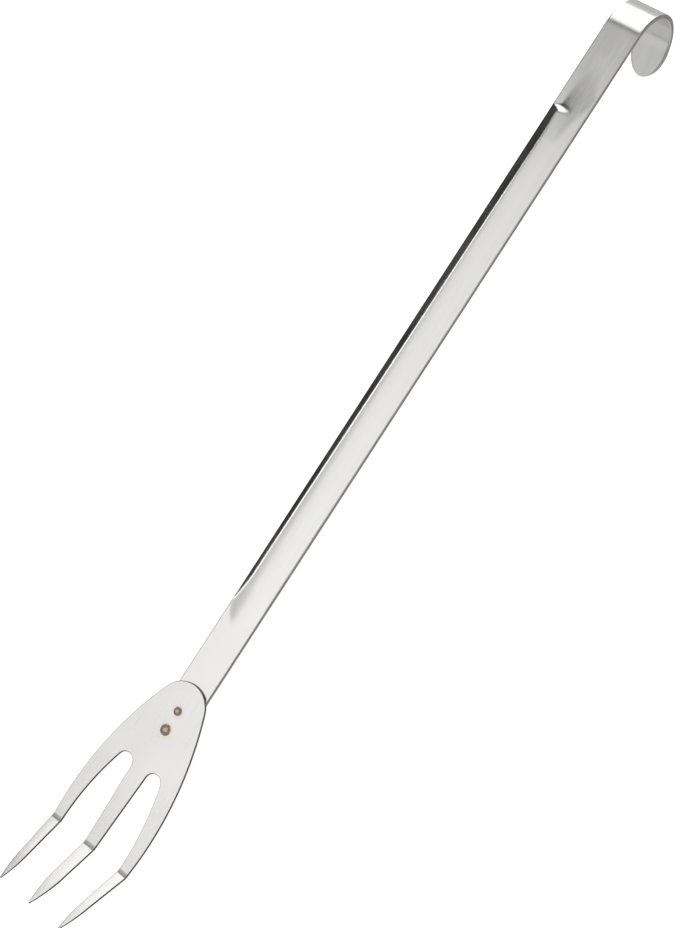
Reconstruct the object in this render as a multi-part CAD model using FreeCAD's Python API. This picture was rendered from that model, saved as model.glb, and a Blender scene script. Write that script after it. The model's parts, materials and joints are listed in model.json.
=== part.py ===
import FreeCAD, Part

import math
import os

from FreeCAD import Placement, Rotation, Vector

# Long three-tine kitchen fork in stainless steel.
#
# The handle is one steel strip. Its middle is pressed into a shallow crown, and its far end is
# rolled back into a hanging hook. The head is a separate blank of thinner sheet: a leaf, split
# by two slots into three tines, whose front halves are bent up. Two spot welds hold the leaf on
# the front face of the strip.
#
# The pieces are drawn in the strip's own frame: X runs along the strip towards the hook, Z points
# out of its front face, and x = z = 0 is where the leaf starts on that face. At the end they are
# tilted and moved together, so that the fork lies on the plane z = 0 the way it rests on a table.
# All sizes are in millimetres and degrees.

# Handle strip
STRIP_WIDTH = 18.7
STRIP_THICKNESS = 2.8
STRIP_UNDER_LEAF = 33.0

# Crown pressed into the strip. Its flanks keep their slope while it rises towards the hook.
CROWN_START = 33.0
CROWN_RAISED_AT = 56.0
CROWN_RAISED_SCALE = 0.62
CROWN_FULL_AT = 322.0
CROWN_STOP = 337.0
CROWN_HALF_WIDTH = 9.0
CROWN_SHOULDER_HALF_WIDTH = 4.0
CROWN_SHOULDER_RISE = 1.88
CROWN_RISE = 2.0
CROWN_RUNOUT_SCALE = 0.02
CROWN_STOP_WIDTH_SCALE = 0.6

# Hanging hook
HOOK_START = 370.2
HOOK_OUTER_RADIUS = 21.5
HOOK_TURN = 150.0
TONGUE_LENGTH = 15.4
TONGUE_TIP_LENGTH = 15.2

# Head blank
SHEET_THICKNESS = 1.5
LEAF_SET_ANGLE = 1.4
LEAF_WIDEST_AT = 76.0
LEAF_HALF_WIDTH = 26.1
LEAF_SIDE_RADIUS = 176.0

# The two slots between the tines
SLOT_ROOT_AT = 45.3
SLOT_OUTER_RADIUS = 148.0
SLOT_OUTER_EDGE = 19.9
MIDDLE_TINE_ROOT_HALF_WIDTH = 5.0
MIDDLE_TINE_BEND_HALF_WIDTH = 3.4

# Bend across the tines, and their front halves
BEND_AT = 92.0
BEND_ANGLE = 32.0
BEND_INNER_RADIUS = 4.0
TINE_FRONT_LENGTH = 38.2
TINE_SHOULDER_AT = 21.0
TINE_POINT_BULGE = 0.45
TINE_POINT_HALF_WIDTH = 0.4
OUTER_TINE_SHOULDER = (18.8, 23.3)
OUTER_TINE_POINT = 19.9
MIDDLE_TINE_SHOULDER = (-3.1, 3.1)
MIDDLE_TINE_POINT = 0.0

# Spot welds: place along the leaf, and diameter of the nugget
SPOT_WELDS = {"spot_weld_upper": (15.0, 4.5), "spot_weld_lower": (25.6, 5.8)}
DIMPLE_DEPTH = 0.3
DIMPLE_WIDTH_SHARE = 0.8

OVERSHOOT = 1.0
X_AXIS = Vector(1, 0, 0)
Y_AXIS = Vector(0, 1, 0)
Z_AXIS = Vector(0, 0, 1)
ORIGIN = Vector(0, 0, 0)


def frame(origin, along, normal):
    """Placement whose X axis is along and whose Z axis is normal."""
    return Placement(origin, Rotation(along, normal.cross(along), normal, "ZXY"))


def turned(angle):
    """Direction of the strip, and its outer normal, after it has turned down by angle."""
    a = math.radians(angle)
    return Vector(math.cos(a), 0, -math.sin(a)), Vector(math.sin(a), 0, math.cos(a))


def leaf_frame():
    """Frame of the head: X from the start of the leaf towards the tines, Z out of its front."""
    a = math.radians(LEAF_SET_ANGLE)
    return frame(ORIGIN, Vector(-math.cos(a), 0, math.sin(a)), Vector(math.sin(a), 0, math.cos(a)))


def placed(shape, placement):
    """The shape, moved from the frame it was drawn in."""
    moved = shape.copy()
    moved.Placement = placement.multiply(moved.Placement)
    return moved


def line(start, end):
    return Part.LineSegment(start, end).toShape()


def arc(start, middle, end):
    return Part.Arc(start, middle, end).toShape()


def prism(edges, height):
    """Solid over the closed outline in the XY plane, with the given signed height."""
    return Part.Face(Part.Wire(edges)).extrude(Vector(0, 0, height))


def rounded_plate(length, tip_length):
    """Length of strip along +X with its front face on z = 0 and a half-ellipse for its end."""
    half = STRIP_WIDTH / 2
    straight = length - tip_length
    ellipse = Part.Ellipse(Vector(straight, 0, 0), tip_length, half)
    edges = [
        line(Vector(0, -half, 0), Vector(straight, -half, 0)),
        ellipse.toShape(-math.pi / 2, math.pi / 2),
        line(Vector(straight, half, 0), Vector(0, half, 0)),
        line(Vector(0, half, 0), Vector(0, -half, 0)),
    ]
    return prism(edges, -STRIP_THICKNESS)


def hook_bend():
    """The rolled part of the strip, a sector of a ring."""
    centre = Vector(HOOK_START, 0, -HOOK_OUTER_RADIUS)
    corner = Vector(HOOK_START, -STRIP_WIDTH / 2, -STRIP_THICKNESS)
    section = Part.makePlane(STRIP_WIDTH, STRIP_THICKNESS, corner, X_AXIS, Y_AXIS)
    return section.revolve(centre, Y_AXIS, HOOK_TURN)


def hook_tongue():
    """The straight free end of the hook."""
    along, normal = turned(HOOK_TURN)
    start = Vector(HOOK_START, 0, -HOOK_OUTER_RADIUS) + normal * HOOK_OUTER_RADIUS
    return placed(rounded_plate(TONGUE_LENGTH, TONGUE_TIP_LENGTH), frame(start, along, normal))


def straight_strip():
    """The straight run, with the slight bend at x = 0 to the end that is set with the leaf."""
    half = STRIP_WIDTH / 2
    bend = math.radians(LEAF_SET_ANGLE)
    corners = [
        Vector(0, -half, 0),
        Vector(HOOK_START, -half, 0),
        Vector(HOOK_START, -half, -STRIP_THICKNESS),
        Vector(-STRIP_THICKNESS * math.tan(bend / 2), -half, -STRIP_THICKNESS),
        Vector(-STRIP_THICKNESS * math.sin(bend), -half, -STRIP_THICKNESS * math.cos(bend)),
    ]
    side = Part.makePolygon(corners + corners[:1])
    return Part.Face(side).extrude(Vector(0, STRIP_WIDTH, 0))


def strip_end():
    """The end of the strip that lies under the leaf."""
    return placed(rounded_plate(STRIP_UNDER_LEAF, STRIP_WIDTH / 2), leaf_frame())


def crown_section(x, width_scale, rise_scale):
    """Closed section across the crown, standing on the strip's front face."""
    half = CROWN_HALF_WIDTH * width_scale
    flank_width = (CROWN_HALF_WIDTH - CROWN_SHOULDER_HALF_WIDTH) * rise_scale
    shoulder = (CROWN_HALF_WIDTH - flank_width) * width_scale
    shoulder_rise = CROWN_SHOULDER_RISE * rise_scale
    left_foot = Vector(x, half, 0)
    left_shoulder = Vector(x, shoulder, shoulder_rise)
    top = Vector(x, 0, CROWN_RISE * rise_scale)
    right_shoulder = Vector(x, -shoulder, shoulder_rise)
    right_foot = Vector(x, -half, 0)
    return Part.Wire([
        line(left_foot, left_shoulder),
        arc(left_shoulder, top, right_shoulder),
        line(right_shoulder, right_foot),
        line(right_foot, left_foot),
    ])


def crown():
    """The raised volume: it fades in slowly at the head and ends in a slope before the hook."""
    sections = [
        crown_section(CROWN_START, 1.0, CROWN_RUNOUT_SCALE),
        crown_section(CROWN_RAISED_AT, 1.0, CROWN_RAISED_SCALE),
        crown_section(CROWN_FULL_AT, 1.0, 1.0),
        crown_section(CROWN_STOP, CROWN_STOP_WIDTH_SCALE, CROWN_RUNOUT_SCALE),
    ]
    return Part.makeLoft(sections, True, True)


def handle_strap():
    """The whole strip. The crown is raised in front and hollow behind, as pressed sheet is."""
    strip = straight_strip().fuse([strip_end(), hook_bend(), hook_tongue()])
    raised = crown()
    hollow = raised.translated(Vector(0, 0, -STRIP_THICKNESS))
    strip = strip.fuse(raised).cut(hollow).removeSplitter()
    return strip.cut([weld_pocket(name) for name in SPOT_WELDS])


def circle_drop(radius, offset):
    """How far a circle falls away from its tangent, at an offset along that tangent."""
    return radius - math.sqrt(radius ** 2 - offset ** 2)


def point_on(centre, radius, towards):
    return centre + (towards - centre).normalize() * radius


def bend_start():
    """Distance along the leaf where its front face starts to bend."""
    return BEND_AT - BEND_INNER_RADIUS * math.tan(math.radians(BEND_ANGLE / 2))


def leaf_edge(s):
    """Half-width of the leaf on its long side arcs."""
    return LEAF_HALF_WIDTH - circle_drop(LEAF_SIDE_RADIUS, s - LEAF_WIDEST_AT)


def leaf_outline():
    """A round nose between two long side arcs, tangent to both, cut square at the bend."""
    side_centre = Vector(LEAF_WIDEST_AT, LEAF_HALF_WIDTH - LEAF_SIDE_RADIUS, 0)
    lift = side_centre.y ** 2 + LEAF_WIDEST_AT ** 2 - LEAF_SIDE_RADIUS ** 2
    nose_radius = lift / (2 * (LEAF_WIDEST_AT - LEAF_SIDE_RADIUS))
    nose_centre = Vector(nose_radius, 0, 0)
    joint = side_centre + (nose_centre - side_centre).normalize() * LEAF_SIDE_RADIUS
    widest = Vector(LEAF_WIDEST_AT, LEAF_HALF_WIDTH, 0)
    end = Vector(bend_start(), leaf_edge(bend_start()), 0)

    def mirrored(point):
        return Vector(point.x, -point.y, 0)

    return [
        arc(joint, ORIGIN, mirrored(joint)),
        arc(mirrored(joint), mirrored(widest), mirrored(end)),
        line(mirrored(end), end),
        arc(end, widest, joint),
    ]


def slot_prism(side):
    """The slot on one side: a round root between the middle tine and the outer slot edge."""
    start = bend_start()
    edge_centre = Vector(start, SLOT_OUTER_EDGE - SLOT_OUTER_RADIUS, 0)
    # The root circle touches the slot's top, the middle tine, and the outer edge from inside:
    # r^2 + b r - c = 0.
    reach = start - SLOT_ROOT_AT
    fall = MIDDLE_TINE_ROOT_HALF_WIDTH - edge_centre.y
    b = 2 * (SLOT_OUTER_RADIUS + fall - reach)
    c = SLOT_OUTER_RADIUS ** 2 - reach ** 2 - fall ** 2
    root_radius = (math.sqrt(b ** 2 + 4 * c) - b) / 2
    root = Vector(SLOT_ROOT_AT + root_radius, MIDDLE_TINE_ROOT_HALF_WIDTH + root_radius, 0)

    inner_start = root - Y_AXIS * root_radius
    root_top = root - X_AXIS * root_radius
    outer_start = edge_centre + (root - edge_centre).normalize() * SLOT_OUTER_RADIUS
    outer_end = Vector(start, SLOT_OUTER_EDGE, 0)
    outer_middle = point_on(edge_centre, SLOT_OUTER_RADIUS, (outer_start + outer_end) / 2)
    inner_end = Vector(start, MIDDLE_TINE_BEND_HALF_WIDTH, 0)
    beyond = X_AXIS * OVERSHOOT
    edges = [
        arc(inner_start, root_top, outer_start),
        arc(outer_start, outer_middle, outer_end),
        line(outer_end, outer_end + beyond),
        line(outer_end + beyond, inner_end + beyond),
        line(inner_end + beyond, inner_end),
        line(inner_end, inner_start),
    ]
    slot = prism(edges, SHEET_THICKNESS)
    return slot if side > 0 else slot.mirror(ORIGIN, Y_AXIS)


def tine_front(base, shoulder, point):
    """A tine past its bend: a slow taper to the shoulder, then two bulged edges to a point."""
    tip_low = point - TINE_POINT_HALF_WIDTH
    tip_high = point + TINE_POINT_HALF_WIDTH
    halfway = (TINE_SHOULDER_AT + TINE_FRONT_LENGTH) / 2
    tip_start = TINE_FRONT_LENGTH - TINE_POINT_HALF_WIDTH
    low_middle = (shoulder[0] + tip_low) / 2 - TINE_POINT_BULGE
    high_middle = (shoulder[1] + tip_high) / 2 + TINE_POINT_BULGE
    low = Vector(TINE_SHOULDER_AT, shoulder[0], 0)
    high = Vector(TINE_SHOULDER_AT, shoulder[1], 0)
    tip = Vector(TINE_FRONT_LENGTH, point, 0)
    edges = [
        line(Vector(0, base[0], 0), low),
        arc(low, Vector(halfway, low_middle, 0), Vector(tip_start, tip_low, 0)),
        arc(Vector(tip_start, tip_low, 0), tip, Vector(tip_start, tip_high, 0)),
        arc(Vector(tip_start, tip_high, 0), Vector(halfway, high_middle, 0), high),
        line(high, Vector(0, base[1], 0)),
        line(Vector(0, base[1], 0), Vector(0, base[0], 0)),
    ]
    return prism(edges, SHEET_THICKNESS)


def bent_tine(base, shoulder, point):
    """One tine from the start of the bend to its point, in the leaf's frame."""
    start = bend_start()
    axis_height = SHEET_THICKNESS + BEND_INNER_RADIUS
    section = Part.makePlane(
        SHEET_THICKNESS, base[1] - base[0], Vector(start, base[1], 0), X_AXIS, Z_AXIS)
    bend = section.revolve(Vector(start, 0, axis_height), -Y_AXIS, BEND_ANGLE)
    front = tine_front(base, shoulder, point)
    front.translate(Vector(start, 0, 0))
    front.rotate(Vector(start, 0, axis_height), -Y_AXIS, BEND_ANGLE)
    return [bend, front]


def fork_head():
    """The head blank, bent and laid on the strip."""
    start = bend_start()
    leaf = prism(leaf_outline(), SHEET_THICKNESS).cut([slot_prism(1), slot_prism(-1)])
    outer = bent_tine((SLOT_OUTER_EDGE, leaf_edge(start)), OUTER_TINE_SHOULDER, OUTER_TINE_POINT)
    middle_base = (-MIDDLE_TINE_BEND_HALF_WIDTH, MIDDLE_TINE_BEND_HALF_WIDTH)
    middle = bent_tine(middle_base, MIDDLE_TINE_SHOULDER, MIDDLE_TINE_POINT)
    opposite = [piece.mirror(ORIGIN, Y_AXIS) for piece in outer]
    head = leaf.fuse(outer + middle + opposite).removeSplitter()
    return placed(head, leaf_frame()).cut([weld_pocket(name) for name in SPOT_WELDS])


def weld_pocket(name):
    """The round pocket through leaf and strip that a weld nugget fills."""
    place, diameter = SPOT_WELDS[name]
    base = Vector(place, 0, -STRIP_THICKNESS)
    pocket = Part.makeCylinder(diameter / 2, SHEET_THICKNESS + STRIP_THICKNESS, base, Z_AXIS)
    return placed(pocket, leaf_frame())


def spot_weld(name):
    """A weld nugget, with the electrode's shallow dimple on both faces."""
    place, diameter = SPOT_WELDS[name]
    rim = diameter / 2 * DIMPLE_WIDTH_SHARE
    ball = (rim ** 2 + DIMPLE_DEPTH ** 2) / (2 * DIMPLE_DEPTH)
    above = SHEET_THICKNESS + ball - DIMPLE_DEPTH
    below = -STRIP_THICKNESS - ball + DIMPLE_DEPTH
    dimples = [Part.makeSphere(ball, Vector(place, 0, z)) for z in (above, below)]
    return weld_pocket(name).cut([placed(dimple, leaf_frame()) for dimple in dimples])


def rest_angle(head, handle):
    """Tilt about Y at which the tine bends and the hook tongue touch the table together."""
    angle = 0.0
    for _ in range(4):
        low = []
        for shape in (head, handle):
            tilted = shape.copy()
            tilted.rotate(ORIGIN, Y_AXIS, angle)
            low.append(tilted.optimalBoundingBox(False, False).ZMin)
        angle -= math.degrees(math.atan((low[0] - low[1]) / (HOOK_START + BEND_AT)))
    return angle


def lay_down(nodes):
    """Tilt all pieces together, and put the middle of their footprint on the origin."""
    angle = rest_angle(nodes["fork_head"], nodes["handle_strap"])
    for shape in nodes.values():
        shape.rotate(ORIGIN, Y_AXIS, angle)
    box = Part.makeCompound(list(nodes.values())).optimalBoundingBox(False, False)
    for shape in nodes.values():
        shape.translate(Vector(-box.Center.x, -box.Center.y, -box.ZMin))


nodes = {"handle_strap": handle_strap(), "fork_head": fork_head()}
nodes.update({name: spot_weld(name) for name in SPOT_WELDS})
lay_down(nodes)

os.makedirs("parts", exist_ok=True)
for node_name, node_shape in nodes.items():
    node_shape.exportStep(f"parts/{node_name}.step")
    bounds = node_shape.optimalBoundingBox(False, False)
    print(node_name, node_shape.isValid(), len(node_shape.Solids), round(node_shape.Volume, 1), bounds)
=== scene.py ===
import json
import math

import bmesh
import bpy
from mathutils import Matrix, Vector


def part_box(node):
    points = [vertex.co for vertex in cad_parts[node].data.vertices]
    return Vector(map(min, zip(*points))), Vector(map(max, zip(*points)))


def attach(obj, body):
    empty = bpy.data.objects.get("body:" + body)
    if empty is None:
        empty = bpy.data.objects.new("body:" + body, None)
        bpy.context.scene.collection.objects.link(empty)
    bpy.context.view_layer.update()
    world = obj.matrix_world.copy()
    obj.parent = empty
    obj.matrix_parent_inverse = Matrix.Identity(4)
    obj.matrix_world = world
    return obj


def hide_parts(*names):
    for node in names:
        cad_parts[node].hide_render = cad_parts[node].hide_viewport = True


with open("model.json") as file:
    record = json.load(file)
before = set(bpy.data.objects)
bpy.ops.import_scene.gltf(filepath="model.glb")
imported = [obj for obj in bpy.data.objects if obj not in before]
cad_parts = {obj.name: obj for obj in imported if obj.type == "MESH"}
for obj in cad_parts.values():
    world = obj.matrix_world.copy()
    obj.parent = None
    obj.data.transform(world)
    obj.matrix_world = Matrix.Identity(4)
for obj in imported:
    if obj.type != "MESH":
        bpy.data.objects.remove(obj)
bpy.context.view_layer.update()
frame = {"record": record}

# A long three-tine fork in stainless steel: a pressed strip handle with a rolled hook, a sheet head
# and two spot welds.
#
# The pieces are drawn in millimetres in the strip's own frame: X along the strip towards the hook,
# Z out of its front face, and the leaf of the head starting at x = 0. strip_placement() takes them
# to the row frame, in metres.

MM = 0.001

# Handle strip
STRIP_WIDTH = 18.7
STRIP_THICKNESS = 2.8
STRIP_UNDER_LEAF = 33.0
STRIP_EDGE_ROUND = 0.55
CORNER_STEPS = 4
FACE_STEPS = 56

# Crown pressed into the strip. Its flanks keep their slope while its top rises, quickly at first and
# then slowly. At the hook its left side stops short, and the rest runs out over a gentle slope.
CROWN_START = 33.0
CROWN_RAISED_AT = 56.0
CROWN_FULL_AT = 322.0
CROWN_RAISED_SHARE = 0.62
CROWN_STOP_LEFT = 326.0
CROWN_STOP_RIGHT = 342.0
CROWN_STOP_SLOPE_LEFT = math.tan(math.radians(32.0))
CROWN_STOP_SLOPE_RIGHT = math.tan(math.radians(4.2))
CROWN_STOP_ROUND = 0.8
CROWN_RIGHT_END_UP_TO = -4.0
CROWN_LEFT_END_FROM = 9.0
CROWN_HALF_WIDTH = 9.0
CROWN_FLANK_SLOPE = math.tan(math.radians(20.6))
CROWN_RISE = 2.0
CROWN_TOP_DROP = 0.6
CROWN_SHOULDER_ROUND = 0.3
CROWN_FOOT_ROUND = 0.12

# Hook
HOOK_START = 370.2
HOOK_RADIUS = 21.5
HOOK_TURN = math.radians(150.0)
TONGUE_LENGTH = 15.4
TONGUE_TIP_LENGTH = 15.2

# Head blank
SHEET_THICKNESS = 1.5
LEAF_SET_ANGLE = math.radians(1.4)
LEAF_WIDEST_AT = 76.0
LEAF_HALF_WIDTH = 26.1
LEAF_SIDE_RADIUS = 176.0
SLOT_ROOT_AT = 45.3
SLOT_OUTER_RADIUS = 148.0
SLOT_OUTER_EDGE = 19.9
MIDDLE_TINE_ROOT = 5.0
MIDDLE_TINE_BEND = 3.4
BEND_AT = 92.0
BEND_ANGLE = math.radians(32.0)
BEND_INNER_RADIUS = 4.0
TINE_FRONT_LENGTH = 38.2
TINE_SHOULDER_AT = 21.0
TINE_POINT_BULGE = 0.45
TINE_POINT_HALF_WIDTH = 0.4
OUTER_TINE_SHOULDER = (18.8, 23.3)
OUTER_TINE_POINT = 19.9
MIDDLE_TINE_SHOULDER = 3.1
SHEET_EDGE_ROUND = 0.4
POINT_THICKNESS_SHARE = 0.5
GRIND_FROM = 20.0
BEND_FADE = 0.5

# Spot welds: place along the leaf, and radius of the nugget
WELDS = {"spot_weld_upper": (15.0, 2.25), "spot_weld_lower": (25.6, 2.9)}

SHARP_ANGLE = math.radians(50.0)
SHEARED_CORNER = math.radians(60.0)
CUT_TOLERANCE = 1e-5
ROUND_SEGMENTS = 64

LEAF_ALONG = Vector((-math.cos(LEAF_SET_ANGLE), 0, math.sin(LEAF_SET_ANGLE)))
LEAF_NORMAL = Vector((math.sin(LEAF_SET_ANGLE), 0, math.cos(LEAF_SET_ANGLE)))


def leaf_point(s, y, w):
    """Point in the strip's frame, s along the leaf from its nose and w above the strip."""
    return LEAF_ALONG * s + Vector((0, y, 0)) + LEAF_NORMAL * w


def heading(a, b):
    return math.atan2(b.z - a.z, b.x - a.x)


def strip_placement():
    """Matrix from the strip's frame to the row frame.

    Two points that are known in both frames fix it: the middle of the upper weld, and the middle of
    the hook's arc, which is the hook mount.
    """
    low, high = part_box("spot_weld_upper")
    weld_row = (low + high) / 2 / MM
    hook_row = Vector(frame["record"]["mounts"][0]["pos_m"]) / MM
    weld = leaf_point(WELDS["spot_weld_upper"][0], 0, (SHEET_THICKNESS - STRIP_THICKNESS) / 2)
    hook = Vector((HOOK_START, 0, -HOOK_RADIUS))
    tilt = Matrix.Rotation(heading(weld, hook) - heading(weld_row, hook_row), 4, "Y")
    move = Matrix.Translation(weld_row - tilt @ weld)
    return Matrix.Scale(MM, 4) @ move @ tilt


PLACEMENT = strip_placement()


def soft_min(a, b, width):
    h = max(width - abs(a - b), 0.0) / width
    return min(a, b) - h * h * width / 4


def soft_max(a, b, width):
    return -soft_min(-a, -b, width)


def blend(low, high, value):
    """0 below low, 1 above high, with a smooth step between."""
    t = min(max((value - low) / (high - low), 0.0), 1.0)
    return t * t * (3 - 2 * t)


def steps(low, high, count):
    return [low + (high - low) * i / count for i in range(count)]


# ---------------------------------------------------------------- mesh helpers

def finish_mesh(name, bm, materials, node):
    """Object in the row frame that replaces one CAD node and rides on the body."""
    bmesh.ops.transform(bm, matrix=PLACEMENT, verts=bm.verts)
    bmesh.ops.recalc_face_normals(bm, faces=bm.faces)
    mesh = bpy.data.meshes.new(name)
    bm.to_mesh(mesh)
    bm.free()
    for material in materials:
        mesh.materials.append(material)
    mesh.shade_smooth()
    mesh.set_sharp_from_angle(angle=SHARP_ANGLE)
    piece = bpy.data.objects.new(name, mesh)
    bpy.context.collection.objects.link(piece)
    weighted = piece.modifiers.new("weighted normals", "WEIGHTED_NORMAL")
    weighted.weight = 80
    weighted.keep_sharp = True
    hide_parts(node)
    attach(piece, "root")
    return piece


def pocket_cutter(name):
    """Cylinder along a weld's axis, longer than the sheets are thick."""
    place, radius = WELDS[name]
    bm = bmesh.new()
    reach = 4 * (SHEET_THICKNESS + STRIP_THICKNESS)
    bmesh.ops.create_cone(
        bm, cap_ends=True, segments=ROUND_SEGMENTS, radius1=radius, radius2=radius, depth=reach)
    bmesh.ops.translate(bm, vec=Vector((place, 0, 0)), verts=bm.verts)
    return bm


def cut_pockets(bm, to_strip):
    """The mesh with both weld pockets cut through it. to_strip places a point drawn on the leaf."""
    body = bpy.data.objects.new("body", bpy.data.meshes.new("body"))
    bm.to_mesh(body.data)
    bpy.context.collection.objects.link(body)
    cutters = []
    for name in WELDS:
        cutter_mesh = pocket_cutter(name)
        for vert in cutter_mesh.verts:
            vert.co = to_strip(*vert.co)
        cutter = bpy.data.objects.new("cutter", bpy.data.meshes.new("cutter"))
        bmesh.ops.recalc_face_normals(cutter_mesh, faces=cutter_mesh.faces)
        cutter_mesh.to_mesh(cutter.data)
        cutter_mesh.free()
        bpy.context.collection.objects.link(cutter)
        modifier = body.modifiers.new("pocket", "BOOLEAN")
        modifier.operation = "DIFFERENCE"
        modifier.solver = "EXACT"
        modifier.object = cutter
        cutters.append(cutter)
    evaluated = body.evaluated_get(bpy.context.evaluated_depsgraph_get())
    bm.clear()
    bm.from_mesh(evaluated.to_mesh())
    evaluated.to_mesh_clear()
    for helper in cutters + [body]:
        bpy.data.objects.remove(helper)
    return bm


# ---------------------------------------------------------------- handle

def crown_rise(s):
    """Height of the crown's middle line, leaving out its stop at the hook."""
    first = CROWN_RISE * CROWN_RAISED_SHARE * (s - CROWN_START) / (CROWN_RAISED_AT - CROWN_START)
    slow = (s - CROWN_RAISED_AT) / (CROWN_FULL_AT - CROWN_RAISED_AT)
    second = CROWN_RISE * (CROWN_RAISED_SHARE + (1 - CROWN_RAISED_SHARE) * min(slow, 1.0))
    return soft_min(first, second, CROWN_SHOULDER_ROUND)


def crown_end(slope, distance):
    """Height of the crown's end slope, with a soft foot on the strip's face."""
    return soft_max(distance * slope, 0.0, CROWN_STOP_ROUND)


def crown_height(s, y):
    """How far the crown lifts the strip at a point of its face."""
    across = y / CROWN_HALF_WIDTH
    flank = (CROWN_HALF_WIDTH - abs(y)) * CROWN_FLANK_SLOPE
    rise = crown_rise(s)
    left = soft_min(rise, crown_end(CROWN_STOP_SLOPE_LEFT, CROWN_STOP_LEFT - s), CROWN_STOP_ROUND)
    right = soft_min(rise, crown_end(CROWN_STOP_SLOPE_RIGHT, CROWN_STOP_RIGHT - s), CROWN_STOP_ROUND)
    leftness = blend(CROWN_RIGHT_END_UP_TO, CROWN_LEFT_END_FROM, y)
    top = right + (left - right) * leftness - CROWN_TOP_DROP * across ** 2
    return soft_max(soft_min(flank, top, CROWN_SHOULDER_ROUND), 0.0, CROWN_FOOT_ROUND)


def strip_frame(s):
    """Point on the front face's middle line, and the outward normal there."""
    if s < 0:
        return LEAF_ALONG * -s, LEAF_NORMAL
    if s < HOOK_START:
        return Vector((s, 0, 0)), Vector((0, 0, 1))
    middle_radius = HOOK_RADIUS - STRIP_THICKNESS / 2
    turn = min((s - HOOK_START) / middle_radius, HOOK_TURN)
    normal = Vector((math.sin(turn), 0, math.cos(turn)))
    along = Vector((math.cos(turn), 0, -math.sin(turn)))
    straight = s - HOOK_START - turn * middle_radius
    return Vector((HOOK_START, 0, -HOOK_RADIUS)) + normal * HOOK_RADIUS + along * straight, normal


def hook_length():
    return (HOOK_RADIUS - STRIP_THICKNESS / 2) * HOOK_TURN


def strip_half_width(s):
    """Half the strip's width: full, but for the round end under the leaf and the tongue's tip."""
    half = STRIP_WIDTH / 2
    tip_start = HOOK_START + hook_length() + TONGUE_LENGTH - TONGUE_TIP_LENGTH
    end = (half - STRIP_UNDER_LEAF - s) / half
    tip = (s - tip_start) / TONGUE_TIP_LENGTH
    past = max(end, tip, 0.0)
    return half * math.sqrt(max(1 - past * past, 0.0))


def strip_stations():
    """Places along the strip: close together where its shape changes."""
    half = STRIP_WIDTH / 2
    end = -STRIP_UNDER_LEAF
    hook_end = HOOK_START + hook_length()
    tip_start = hook_end + TONGUE_LENGTH - TONGUE_TIP_LENGTH
    round_end = [end + half * (1 - math.cos(math.radians(a))) for a in range(4, 90, 5)]
    tip = [tip_start + TONGUE_TIP_LENGTH * math.sin(math.radians(a)) for a in range(0, 87, 4)]
    return (
        round_end
        + steps(end + half, 0.0, 8)
        + steps(0.0, CROWN_START - 2, 6)
        + steps(CROWN_START - 2, CROWN_RAISED_AT + 4, 50)
        + steps(CROWN_RAISED_AT + 4, CROWN_STOP_LEFT - 18, 60)
        + steps(CROWN_STOP_LEFT - 18, CROWN_STOP_LEFT + 3, 70)
        + steps(CROWN_STOP_LEFT + 3, HOOK_START, 32)
        + steps(HOOK_START, hook_end, 54)
        + steps(hook_end, tip_start, 3)
        + tip
    )


def strip_section(s):
    """Closed loop round the strip at s: (y, height over the front face, on a cut edge)."""
    half = strip_half_width(s)
    radius = min(STRIP_EDGE_ROUND, half * 0.5)
    flat = half - radius
    front = [flat * (2 * i / FACE_STEPS - 1) for i in range(FACE_STEPS + 1)]
    loop = [(y, crown_height(s, y), False) for y in front]
    for i in range(1, CORNER_STEPS + 1):
        a = math.pi / 2 * i / CORNER_STEPS
        cut = i > CORNER_STEPS / 2
        loop.append((flat + radius * math.sin(a), radius * (math.cos(a) - 1), cut))
    for i in range(CORNER_STEPS):
        a = math.pi / 2 * i / CORNER_STEPS
        loop.append((flat + radius * math.cos(a), radius * (1 - math.sin(a)) - STRIP_THICKNESS, False))
    loop += [(-y, crown_height(s, -y) - STRIP_THICKNESS, False) for y in front]
    for i in range(1, CORNER_STEPS + 1):
        a = math.pi / 2 * i / CORNER_STEPS
        drop = radius * (1 - math.cos(a)) - STRIP_THICKNESS
        loop.append((-flat - radius * math.sin(a), drop, i == CORNER_STEPS))
    for i in range(CORNER_STEPS):
        a = math.pi / 2 * i / CORNER_STEPS
        cut = i < CORNER_STEPS / 2
        loop.append((-flat - radius * math.cos(a), radius * (math.sin(a) - 1), cut))
    return loop


def build_handle(materials):
    """The strip as one skin of loops, with the weld pockets cut through its end."""
    bm = bmesh.new()
    uv = bm.loops.layers.uv.new("Sheet")
    rings = []
    for s in strip_stations():
        base, normal = strip_frame(s)
        section = strip_section(s)
        verts = [bm.verts.new(base + Vector((0, y, 0)) + normal * z) for y, z, _ in section]
        rings.append((s, section, verts))
    for (s0, section, ring), (s1, next_section, next_ring) in zip(rings, rings[1:]):
        for i in range(len(ring)):
            j = (i + 1) % len(ring)
            face = bm.faces.new((ring[i], ring[j], next_ring[j], next_ring[i]))
            face.material_index = 1 if section[i][2] else 0
            flat = ((s0, section[i]), (s0, section[j]), (s1, next_section[j]), (s1, next_section[i]))
            for loop, (s, point) in zip(face.loops, flat):
                loop[uv].uv = (s * MM, (point[0] + point[1]) * MM)
    for ring in (rings[0][2], rings[-1][2]):
        bm.faces.new(ring).material_index = 1
    bmesh.ops.recalc_face_normals(bm, faces=bm.faces)
    bm = cut_pockets(bm, leaf_point)
    return finish_mesh("strip_handle", bm, materials, "handle_strap")


# ---------------------------------------------------------------- head

def bend_start():
    return BEND_AT - BEND_INNER_RADIUS * math.tan(BEND_ANGLE / 2)


def bend_length():
    return (BEND_INNER_RADIUS + SHEET_THICKNESS / 2) * BEND_ANGLE


def arc_points(centre, radius, start, end, count):
    """Points on an arc of the flat blank, from angle start to angle end, without the last."""
    turns = steps(start, end, count)
    return [(centre[0] + radius * math.cos(a), centre[1] + radius * math.sin(a)) for a in turns]


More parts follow.
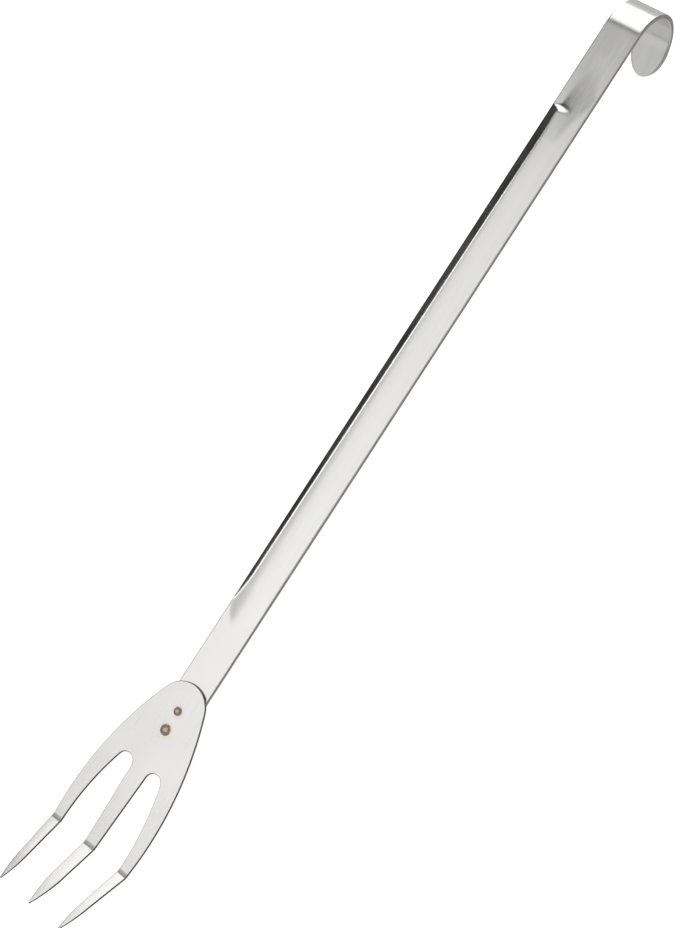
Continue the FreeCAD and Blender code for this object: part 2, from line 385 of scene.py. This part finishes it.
def curve_points(start, middle, end, count):
    """Points on a parabola through three points, without the last."""
    points = []
    for t in steps(0.0, 1.0, count):
        weights = ((1 - t) * (1 - 2 * t), 4 * t * (1 - t), t * (2 * t - 1))
        points.append(tuple(sum(w * p[i] for w, p in zip(weights, (start, middle, end))) for i in (0, 1)))
    return points


def tine_point_curves(front, low, high, tip):
    """The two bulged edges of a tine's point, outer edge first, round the tip and back."""
    shoulder = front + TINE_SHOULDER_AT
    tip_start = front + TINE_FRONT_LENGTH - TINE_POINT_HALF_WIDTH
    middle = (shoulder + tip_start) / 2
    tip_low = (tip_start, tip - TINE_POINT_HALF_WIDTH)
    tip_high = (tip_start, tip + TINE_POINT_HALF_WIDTH)
    out = curve_points(
        (shoulder, high), (middle, (high + tip_high[1]) / 2 + TINE_POINT_BULGE), tip_high, 10)
    nose = arc_points((tip_start, tip), TINE_POINT_HALF_WIDTH, math.pi / 2, -math.pi / 2, 5)
    back = curve_points(
        tip_low, (middle, (low + tip_low[1]) / 2 - TINE_POINT_BULGE), (shoulder, low), 10)
    return out + nose + back + [(shoulder, low)]


def half_outline():
    """Flat outline of the blank for y > 0, from the nose to the middle tine's tip."""
    start = bend_start()
    front = start + bend_length()
    side_centre = (LEAF_WIDEST_AT, LEAF_HALF_WIDTH - LEAF_SIDE_RADIUS)
    lift = side_centre[1] ** 2 + LEAF_WIDEST_AT ** 2 - LEAF_SIDE_RADIUS ** 2
    nose_radius = lift / (2 * (LEAF_WIDEST_AT - LEAF_SIDE_RADIUS))
    joint = math.atan2(-side_centre[1], nose_radius - LEAF_WIDEST_AT)
    side_end = math.acos((start - LEAF_WIDEST_AT) / LEAF_SIDE_RADIUS)
    outer_base = side_centre[1] + LEAF_SIDE_RADIUS * math.sin(side_end)
    points = arc_points((nose_radius, 0), nose_radius, math.pi, joint, 24)
    points += arc_points(side_centre, LEAF_SIDE_RADIUS, joint, side_end, 40)
    points += [(start, outer_base), (front, outer_base)]
    points += tine_point_curves(front, *OUTER_TINE_SHOULDER, OUTER_TINE_POINT)
    points += [(front, SLOT_OUTER_EDGE), (start, SLOT_OUTER_EDGE)]

    edge_centre = (start, SLOT_OUTER_EDGE - SLOT_OUTER_RADIUS)
    reach = start - SLOT_ROOT_AT
    fall = MIDDLE_TINE_ROOT - edge_centre[1]
    linear = 2 * (SLOT_OUTER_RADIUS + fall - reach)
    constant = SLOT_OUTER_RADIUS ** 2 - reach ** 2 - fall ** 2
    root_radius = (math.sqrt(linear * linear + 4 * constant) - linear) / 2
    root = (SLOT_ROOT_AT + root_radius, MIDDLE_TINE_ROOT + root_radius)
    touch = math.atan2(root[1] - edge_centre[1], root[0] - edge_centre[0])
    points += arc_points(edge_centre, SLOT_OUTER_RADIUS, math.pi / 2, touch, 26)[1:]
    points += arc_points(root, root_radius, touch, 1.5 * math.pi, 26)
    points += [(root[0], MIDDLE_TINE_ROOT), (start, MIDDLE_TINE_BEND), (front, MIDDLE_TINE_BEND)]
    tip = tine_point_curves(front, -MIDDLE_TINE_SHOULDER, MIDDLE_TINE_SHOULDER, 0.0)
    points += [point for point in tip if point[1] > 0.01]
    return points


def head_outline():
    half = half_outline()
    tip = (bend_start() + bend_length() + TINE_FRONT_LENGTH, 0.0)
    return half + [tip] + [(s, -y) for s, y in reversed(half[1:])]


def bent(s, y, w):
    """Where a point of the flat blank goes when the tines are ground thin, and bent up."""
    start = bend_start()
    centre = SHEET_THICKNESS + BEND_INNER_RADIUS
    past = s - start - bend_length()
    thin = 1 - (1 - POINT_THICKNESS_SHARE) * blend(GRIND_FROM, TINE_FRONT_LENGTH, past)
    w = SHEET_THICKNESS / 2 + (w - SHEET_THICKNESS / 2) * thin
    turn = min(max(s - start, 0.0), bend_length()) / bend_length() * BEND_ANGLE
    radius = centre - w
    along = min(s, start) + radius * math.sin(turn) + max(past, 0.0) * math.cos(turn)
    up = centre - radius * math.cos(turn) + max(past, 0.0) * math.sin(turn)
    return leaf_point(along, y, up)


def build_head(materials):
    """The head from its flat outline: edges broken, pockets cut, then ground and bent."""
    bm = bmesh.new()
    rim = [bm.verts.new((s, y, 0)) for s, y in head_outline()]
    face = bm.faces.new(rim)
    grown = bmesh.ops.extrude_face_region(bm, geom=[face], use_keep_orig=True)
    raised = [item for item in grown["geom"] if isinstance(item, bmesh.types.BMVert)]
    bmesh.ops.translate(bm, vec=(0, 0, SHEET_THICKNESS), verts=raised)
    bmesh.ops.recalc_face_normals(bm, faces=bm.faces)
    for face in bm.faces:
        face.material_index = 0 if len(face.verts) > 4 else 1
    sharp = [edge for edge in bm.edges if edge.calc_face_angle(0) > SHEARED_CORNER]
    sharp = [edge for edge in sharp if abs(edge.verts[0].co.z - edge.verts[1].co.z) < SHEET_THICKNESS / 2]
    bmesh.ops.bevel(
        bm, geom=sharp, offset=SHEET_EDGE_ROUND, segments=2, profile=0.5, affect="EDGES",
        clamp_overlap=True, material=1)
    bm = cut_pockets(bm, lambda s, y, w: Vector((s, y, w)))
    start = bend_start()
    front = start + bend_length()
    cuts = steps(start, front, 10) + [front]
    cuts += steps(front + 4, front + TINE_FRONT_LENGTH - 1, 16)
    cuts += steps(SLOT_ROOT_AT, start, 5)
    for s in cuts:
        everything = bm.verts[:] + bm.edges[:] + bm.faces[:]
        bmesh.ops.bisect_plane(
            bm, geom=everything, plane_co=(s, 0, 0), plane_no=(1, 0, 0), dist=CUT_TOLERANCE)
    uv = bm.loops.layers.uv.new("Sheet")
    for face in bm.faces:
        for loop in face.loops:
            loop[uv].uv = (loop.vert.co.x * MM, (loop.vert.co.y + loop.vert.co.z) * MM)
    for vert in bm.verts:
        vert.co = bent(*vert.co)
    return finish_mesh("slotted_head", bm, materials, "fork_head")


# ---------------------------------------------------------------- welds

# Profile of a weld's face: (share of the radius, height over the sheet in millimetres)
WELD_PROFILE = [
    (0.0, -0.20), (0.15, -0.20), (0.3, -0.17), (0.45, -0.10), (0.58, 0.0), (0.68, 0.05), (0.78, 0.04),
    (0.88, -0.03), (0.95, -0.05), (0.985, -0.10)]


def build_weld(name, material):
    """A turned nugget with the same dimple and raised ring on both faces."""
    place, radius = WELDS[name]
    front = [(share * radius, SHEET_THICKNESS + height) for share, height in WELD_PROFILE]
    back = [(share * radius, -STRIP_THICKNESS - height) for share, height in reversed(WELD_PROFILE)]
    bm = bmesh.new()
    rings = []
    for r, w in front + back:
        if r == 0:
            rings.append([bm.verts.new(leaf_point(place, 0, w))] * ROUND_SEGMENTS)
            continue
        turns = steps(0.0, 2 * math.pi, ROUND_SEGMENTS)
        rings.append([
            bm.verts.new(leaf_point(place + r * math.cos(a), r * math.sin(a), w)) for a in turns])
    for ring, next_ring in zip(rings, rings[1:]):
        for i in range(ROUND_SEGMENTS):
            j = (i + 1) % ROUND_SEGMENTS
            corners = []
            for vert in (ring[i], ring[j], next_ring[j], next_ring[i]):
                if vert not in corners:
                    corners.append(vert)
            bm.faces.new(corners)
    return finish_mesh(name + "_nugget", bm, [material], name)


# ---------------------------------------------------------------- materials

STEEL_ANISOTROPY = 0.35
# Share of the steel's colour that is left in the bends of the tines: painted shade
BEND_PAINTED_SHADE_TINT = (0.5, 0.5, 0.49)
# Heat tint round a weld: its colour, how far it reaches in weld radii, and how strong it is
HALO_TINT = (1.02, 0.86, 0.70)
HALO_REACH = 2.0
HALO_STRENGTH = 0.45
# Colour of the torn part of a sheared edge, as a share of the burnished part
TORN_TINT = (0.55, 0.53, 0.5)


def tinted(color, tint):
    return (color[0] * tint[0], color[1] * tint[1], color[2] * tint[2], 1)


class Nodes:
    """A material's node tree, with short ways to add the nodes that steel needs."""

    def __init__(self, name):
        self.material = bpy.data.materials.new(name)
        self.material.use_nodes = True
        self.tree = self.material.node_tree
        self.shader = self.tree.nodes["Principled BSDF"]

    def add(self, kind, **settings):
        node = self.tree.nodes.new(kind)
        for key, value in settings.items():
            setattr(node, key, value)
        return node

    def link(self, source, target):
        self.tree.links.new(source, target)

    def put(self, socket, value):
        """Links an output to the socket, or sets a constant on it."""
        if isinstance(value, bpy.types.NodeSocket):
            self.link(value, socket)
        else:
            socket.default_value = value

    def math(self, operation, a, b=0.0, clamp=False):
        node = self.add("ShaderNodeMath", operation=operation, use_clamp=clamp)
        self.put(node.inputs[0], a)
        self.put(node.inputs[1], b)
        return node.outputs[0]

    def ramp(self, value, low, high, out_low=0.0, out_high=1.0):
        node = self.add("ShaderNodeMapRange", interpolation_type="SMOOTHSTEP")
        for socket, item in zip(node.inputs, (value, low, high, out_low, out_high)):
            self.put(socket, item)
        return node.outputs[0]

    def mix(self, share, a, b):
        node = self.add("ShaderNodeMix", data_type="RGBA")
        self.put(node.inputs["Factor"], share)
        self.put(node.inputs[6], a)
        self.put(node.inputs[7], b)
        return node.outputs[2]

    def sheet(self, along, across):
        """Place on the flat sheet, scaled by a number of cycles per metre each way."""
        mapping = self.add("ShaderNodeMapping")
        mapping.inputs["Scale"].default_value = (along, across, 1)
        self.link(self.add("ShaderNodeUVMap", uv_map="Sheet").outputs["UV"], mapping.inputs["Vector"])
        return mapping.outputs["Vector"]

    def place(self):
        return self.add("ShaderNodeTexCoord").outputs["Object"]

    def noise(self, vector, scale=1.0, detail=2.0, roughness=0.5):
        node = self.add("ShaderNodeTexNoise")
        self.link(vector, node.inputs["Vector"])
        node.inputs["Scale"].default_value = scale
        node.inputs["Detail"].default_value = detail
        node.inputs["Roughness"].default_value = roughness
        return node.outputs["Fac"]

    def bump(self, height, strength, distance, below=None):
        node = self.add("ShaderNodeBump")
        node.inputs["Strength"].default_value = strength
        node.inputs["Distance"].default_value = distance
        self.link(height, node.inputs["Height"])
        if below is not None:
            self.link(below, node.inputs["Normal"])
        return node.outputs["Normal"]

    def distance_to(self, centre):
        node = self.add("ShaderNodeVectorMath", operation="DISTANCE")
        self.link(self.place(), node.inputs[0])
        node.inputs[1].default_value = centre
        return node.outputs["Value"]


def weld_centre(name, height):
    return PLACEMENT @ leaf_point(WELDS[name][0], 0, height)


def bend_painted_shade_zone(n):
    """1 where the press has bent the tines and the colour is darkened as painted shade, 0 elsewhere."""
    along = n.add("ShaderNodeSeparateXYZ")
    n.link(n.add("ShaderNodeUVMap", uv_map="Sheet").outputs["UV"], along.inputs[0])
    start = bend_start() * MM
    end = start + bend_length() * MM
    fade = BEND_FADE * MM
    entered = n.ramp(along.outputs["X"], start - fade, start + fade)
    passed = n.ramp(along.outputs["X"], end - fade, end + fade)
    return n.math("SUBTRACT", entered, passed)


def brushed_steel(name, color, roughness, grain_depth, streakiness, on_head=False):
    """Rolled stainless sheet with a fine lengthwise grain, soft waviness and handling marks."""
    n = Nodes(name)
    fine = n.noise(n.sheet(90, 5200), detail=3.0, roughness=0.6)
    broad = n.noise(n.sheet(16, 700), detail=2.0)
    cloudy = n.noise(n.place(), scale=45, detail=3.0)
    scratch = n.ramp(n.noise(n.sheet(25, 2600), detail=1.0), 0.68, 0.78)
    streak = n.math("ADD", n.math("MULTIPLY", fine, 0.6), n.math("MULTIPLY", broad, 0.4))

    shade = n.ramp(streak, 0.3, 0.7, 1 - 0.06 * streakiness, 1 + 0.03 * streakiness)
    patch = n.ramp(cloudy, 0.35, 0.65, 0.985, 1.015)
    base = n.add("ShaderNodeMix", data_type="RGBA", blend_type="MULTIPLY")
    base.inputs["Factor"].default_value = 1.0
    grey = n.add("ShaderNodeCombineColor")
    for socket in grey.inputs:
        n.link(n.math("MULTIPLY", shade, patch), socket)
    n.put(base.inputs[6], (*color, 1))
    n.link(grey.outputs[0], base.inputs[7])
    tone = base.outputs[2]
    if on_head:
        # Painted shade: the bends of the tines get a darker colour
        tone = n.mix(bend_painted_shade_zone(n), tone, tinted(color, BEND_PAINTED_SHADE_TINT))
        for weld in WELDS:
            radius = WELDS[weld][1] * MM
            away = n.distance_to(weld_centre(weld, SHEET_THICKNESS))
            wobble = n.math("MULTIPLY", n.math("SUBTRACT", n.noise(n.place(), scale=420), 0.5), radius)
            near = n.math("ADD", away, wobble)
            warm = n.ramp(near, radius, radius * HALO_REACH, HALO_STRENGTH, 0.0)
            tone = n.mix(warm, tone, tinted(color, HALO_TINT))
    n.link(tone, n.shader.inputs["Base Color"])

    smoothest = roughness * (1 - 0.2 * streakiness)
    roughest = roughness * (1 + 0.25 * streakiness)
    gloss = n.ramp(streak, 0.3, 0.7, smoothest, roughest)
    gloss = n.math("ADD", gloss, n.math("MULTIPLY", scratch, 0.08))
    gloss = n.math("ADD", gloss, n.ramp(cloudy, 0.3, 0.7, -0.02, 0.03))
    n.link(gloss, n.shader.inputs["Roughness"])

    waves = n.bump(n.noise(n.place(), scale=28, detail=1.0), 1.0, 0.00006)
    grain = n.bump(streak, 1.0, grain_depth, waves)
    n.link(n.bump(scratch, 0.5, -grain_depth, grain), n.shader.inputs["Normal"])

    n.shader.inputs["Metallic"].default_value = 1.0
    n.shader.inputs["Anisotropic"].default_value = STEEL_ANISOTROPY
    tangent = n.add("ShaderNodeTangent", direction_type="UV_MAP", uv_map="Sheet")
    n.link(tangent.outputs["Tangent"], n.shader.inputs["Tangent"])
    return n.material


def sheared_edge(name, color):
    """The cut edge of the sheet: a burnished band and a torn, darker, rougher one."""
    n = Nodes(name)
    torn = n.noise(n.sheet(2600, 500), detail=3.0, roughness=0.65)
    band = n.noise(n.sheet(120, 900), detail=2.0)
    share = n.ramp(n.math("ADD", n.math("MULTIPLY", torn, 0.6), n.math("MULTIPLY", band, 0.4)), 0.35, 0.65)
    bright = (*color, 1)
    dark = tinted(color, TORN_TINT)
    n.link(n.mix(share, dark, bright), n.shader.inputs["Base Color"])
    n.link(n.ramp(torn, 0.3, 0.7, 0.32, 0.55), n.shader.inputs["Roughness"])
    n.link(n.bump(torn, 0.8, 0.00008), n.shader.inputs["Normal"])
    n.shader.inputs["Metallic"].default_value = 1.0
    return n.material


def weld_steel(name):
    """Spot-welded steel: a lighter middle inside a ring browned by the electrode's heat."""
    n = Nodes(name + "_steel")
    radius = WELDS[name][1] * MM
    speckle = n.noise(n.place(), scale=900, detail=3.0, roughness=0.6)
    wobble = n.math("MULTIPLY", n.math("SUBTRACT", n.noise(n.place(), scale=520), 0.5), radius * 1.2)
    front = n.distance_to(weld_centre(name, SHEET_THICKNESS))
    back = n.distance_to(weld_centre(name, -STRIP_THICKNESS))
    away = n.math("ADD", n.math("MINIMUM", front, back), wobble)
    inside = n.ramp(away, radius * 0.28, radius * 0.52)
    outside = n.ramp(away, radius * 0.86, radius * 1.1)
    ring = n.mix(speckle, (0.14, 0.11, 0.085, 1), (0.42, 0.35, 0.29, 1))
    middle = n.mix(speckle, (0.42, 0.38, 0.33, 1), (0.66, 0.62, 0.56, 1))
    rim = (0.62, 0.52, 0.42, 1)
    n.link(n.mix(outside, n.mix(inside, middle, ring), rim), n.shader.inputs["Base Color"])
    n.link(n.ramp(speckle, 0.3, 0.7, 0.28, 0.5), n.shader.inputs["Roughness"])
    n.link(n.bump(speckle, 0.8, 0.0001), n.shader.inputs["Normal"])
    n.shader.inputs["Metallic"].default_value = 1.0
    return n.material


# ---------------------------------------------------------------- stage, light and camera

FLOOR_HALF_SIZE = 4.0
FLOOR_PAPER = (0.9, 0.9, 0.9, 1)
FLOOR_GLOW = 0.72
# What the steel mirrors of the floor, dimmer than the floor looks to the camera
FLOOR_IN_STEEL = (0.55, 0.55, 0.55, 1)
WORLD_SEEN = (0.93, 0.93, 0.93, 1)
WORLD_LIGHT = (0.02, 0.02, 0.02, 1)

# Softboxes: middle, where each one faces, size, and radiance. The overhead light is made of panels
# that get dimmer towards the hook. The one behind the camera lights the views from the other side.
DOWN = (0, 0, -1)
SOFTBOXES = {
    "over_head": {"at": (-0.76, -0.10, 1.6), "facing": DOWN, "size": (0.60, 2.2), "radiance": 1.13},
    "over_middle": {"at": (-0.28, -0.10, 1.6), "facing": DOWN, "size": (0.36, 2.2), "radiance": 1.03},
    "over_hook": {"at": (0.12, -0.10, 1.6), "facing": DOWN, "size": (0.44, 2.2), "radiance": 0.95},
    "beyond_hook": {"at": (0.52, 0.10, 1.6), "facing": DOWN, "size": (0.38, 2.6), "radiance": 0.46},
    "far": {"at": (-0.38, 1.28, 1.6), "facing": DOWN, "size": (1.5, 0.5), "radiance": 0.62},
    "farthest": {"at": (-0.38, 1.92, 1.6), "facing": DOWN, "size": (1.5, 0.55), "radiance": 2.2},
    "hook_side": {
        "at": (1.4, 0.59, 1.31), "facing": (-1, 0, 0), "size": (1.58, 2.58), "radiance": 1.4},
    "tine_side": {
        "at": (-1.6, 0.50, 1.05), "facing": (1, 0, 0), "size": (1.6, 1.9), "radiance": 0.66},
    "behind_camera": {
        "at": (0.3, -1.6, 1.1), "facing": (-0.1, 0.8, -0.5), "size": (2.2, 1.1), "radiance": 0.8},
}

CAMERA_AZIMUTH = -7.81
CAMERA_ELEVATION = 64.39
CAMERA_ROLL = -47.34
CAMERA_TARGET = (-0.0074, -0.0004, 0.0251)
CAMERA_DISTANCE = 0.8575
CAMERA_LENS = 70.15
CAMERA_SENSOR = 36.0


def build_floor():
    bm = bmesh.new()
    bmesh.ops.create_grid(bm, x_segments=8, y_segments=8, size=FLOOR_HALF_SIZE)
    mesh = bpy.data.meshes.new("floor")
    bm.to_mesh(mesh)
    bm.free()
    floor = bpy.data.objects.new("floor", mesh)
    bpy.context.collection.objects.link(floor)
    n = Nodes("floor_paper")
    n.shader.inputs["Base Color"].default_value = FLOOR_PAPER
    n.shader.inputs["Roughness"].default_value = 0.9
    n.shader.inputs["Specular IOR Level"].default_value = 0.1
    n.shader.inputs["Emission Color"].default_value = (1, 1, 1, 1)
    n.shader.inputs["Emission Strength"].default_value = FLOOR_GLOW
    mirrored = n.add("ShaderNodeEmission")
    mirrored.inputs["Color"].default_value = FLOOR_IN_STEEL
    mix = n.add("ShaderNodeMixShader")
    n.link(n.add("ShaderNodeLightPath").outputs["Is Glossy Ray"], mix.inputs["Fac"])
    n.link(n.shader.outputs[0], mix.inputs[1])
    n.link(mirrored.outputs[0], mix.inputs[2])
    n.link(mix.outputs[0], n.tree.nodes["Material Output"].inputs["Surface"])
    mesh.materials.append(n.material)


def build_world():
    """Pale where the camera sees it, and dim as a light, so that the softboxes shape the steel."""
    world = bpy.data.worlds.new("studio")
    world.use_nodes = True
    tree = world.node_tree
    seen = tree.nodes["Background"]
    seen.inputs["Color"].default_value = WORLD_SEEN
    light = tree.nodes.new("ShaderNodeBackground")
    light.inputs["Color"].default_value = WORLD_LIGHT
    ray = tree.nodes.new("ShaderNodeLightPath")
    mix = tree.nodes.new("ShaderNodeMixShader")
    tree.links.new(ray.outputs["Is Camera Ray"], mix.inputs["Fac"])
    tree.links.new(light.outputs[0], mix.inputs[1])
    tree.links.new(seen.outputs[0], mix.inputs[2])
    tree.links.new(mix.outputs[0], tree.nodes["World Output"].inputs["Surface"])
    bpy.context.scene.world = world


def build_softbox(name, at, facing, size, radiance):
    light = bpy.data.lights.new(name, "AREA")
    light.shape = "RECTANGLE"
    light.size, light.size_y = size
    light.energy = radiance * math.pi * size[0] * size[1]
    box = bpy.data.objects.new(name, light)
    box.location = at
    box.rotation_euler = Vector(facing).to_track_quat("-Z", "Y").to_euler()
    box.visible_camera = False
    bpy.context.collection.objects.link(box)


def build_camera():
    data = bpy.data.cameras.new("camera")
    data.lens = CAMERA_LENS
    data.sensor_width = CAMERA_SENSOR
    camera = bpy.data.objects.new("camera", data)
    azimuth = Matrix.Rotation(math.radians(CAMERA_AZIMUTH), 4, "Z")
    tilt = Matrix.Rotation(math.radians(90 - CAMERA_ELEVATION), 4, "X")
    roll = Matrix.Rotation(math.radians(CAMERA_ROLL), 4, "Z")
    back = Matrix.Translation((0, 0, CAMERA_DISTANCE))
    camera.matrix_world = Matrix.Translation(CAMERA_TARGET) @ azimuth @ tilt @ back @ roll
    bpy.context.collection.objects.link(camera)
    bpy.context.scene.camera = camera


handle_face = brushed_steel("handle_face", (0.80, 0.795, 0.785), 0.20, 0.000004, streakiness=0.7)
head_face = brushed_steel("head_face", (0.79, 0.785, 0.775), 0.24, 0.000002, streakiness=0.35, on_head=True)
handle_edge = sheared_edge("handle_edge", (0.52, 0.515, 0.50))
# The head's cut edges get a very dark base colour, far below the handle's: painted shade for the dark rim
# the edges show on their shaded side
head_edge = sheared_edge("head_edge", (0.20, 0.195, 0.19))

build_handle([handle_face, handle_edge])
build_head([head_face, head_edge])
for weld_name in WELDS:
    build_weld(weld_name, weld_steel(weld_name))

build_floor()
build_world()
for box_name, box_settings in SOFTBOXES.items():
    build_softbox(box_name, **box_settings)
build_camera()
bpy.context.scene.view_settings.view_transform = "Standard"
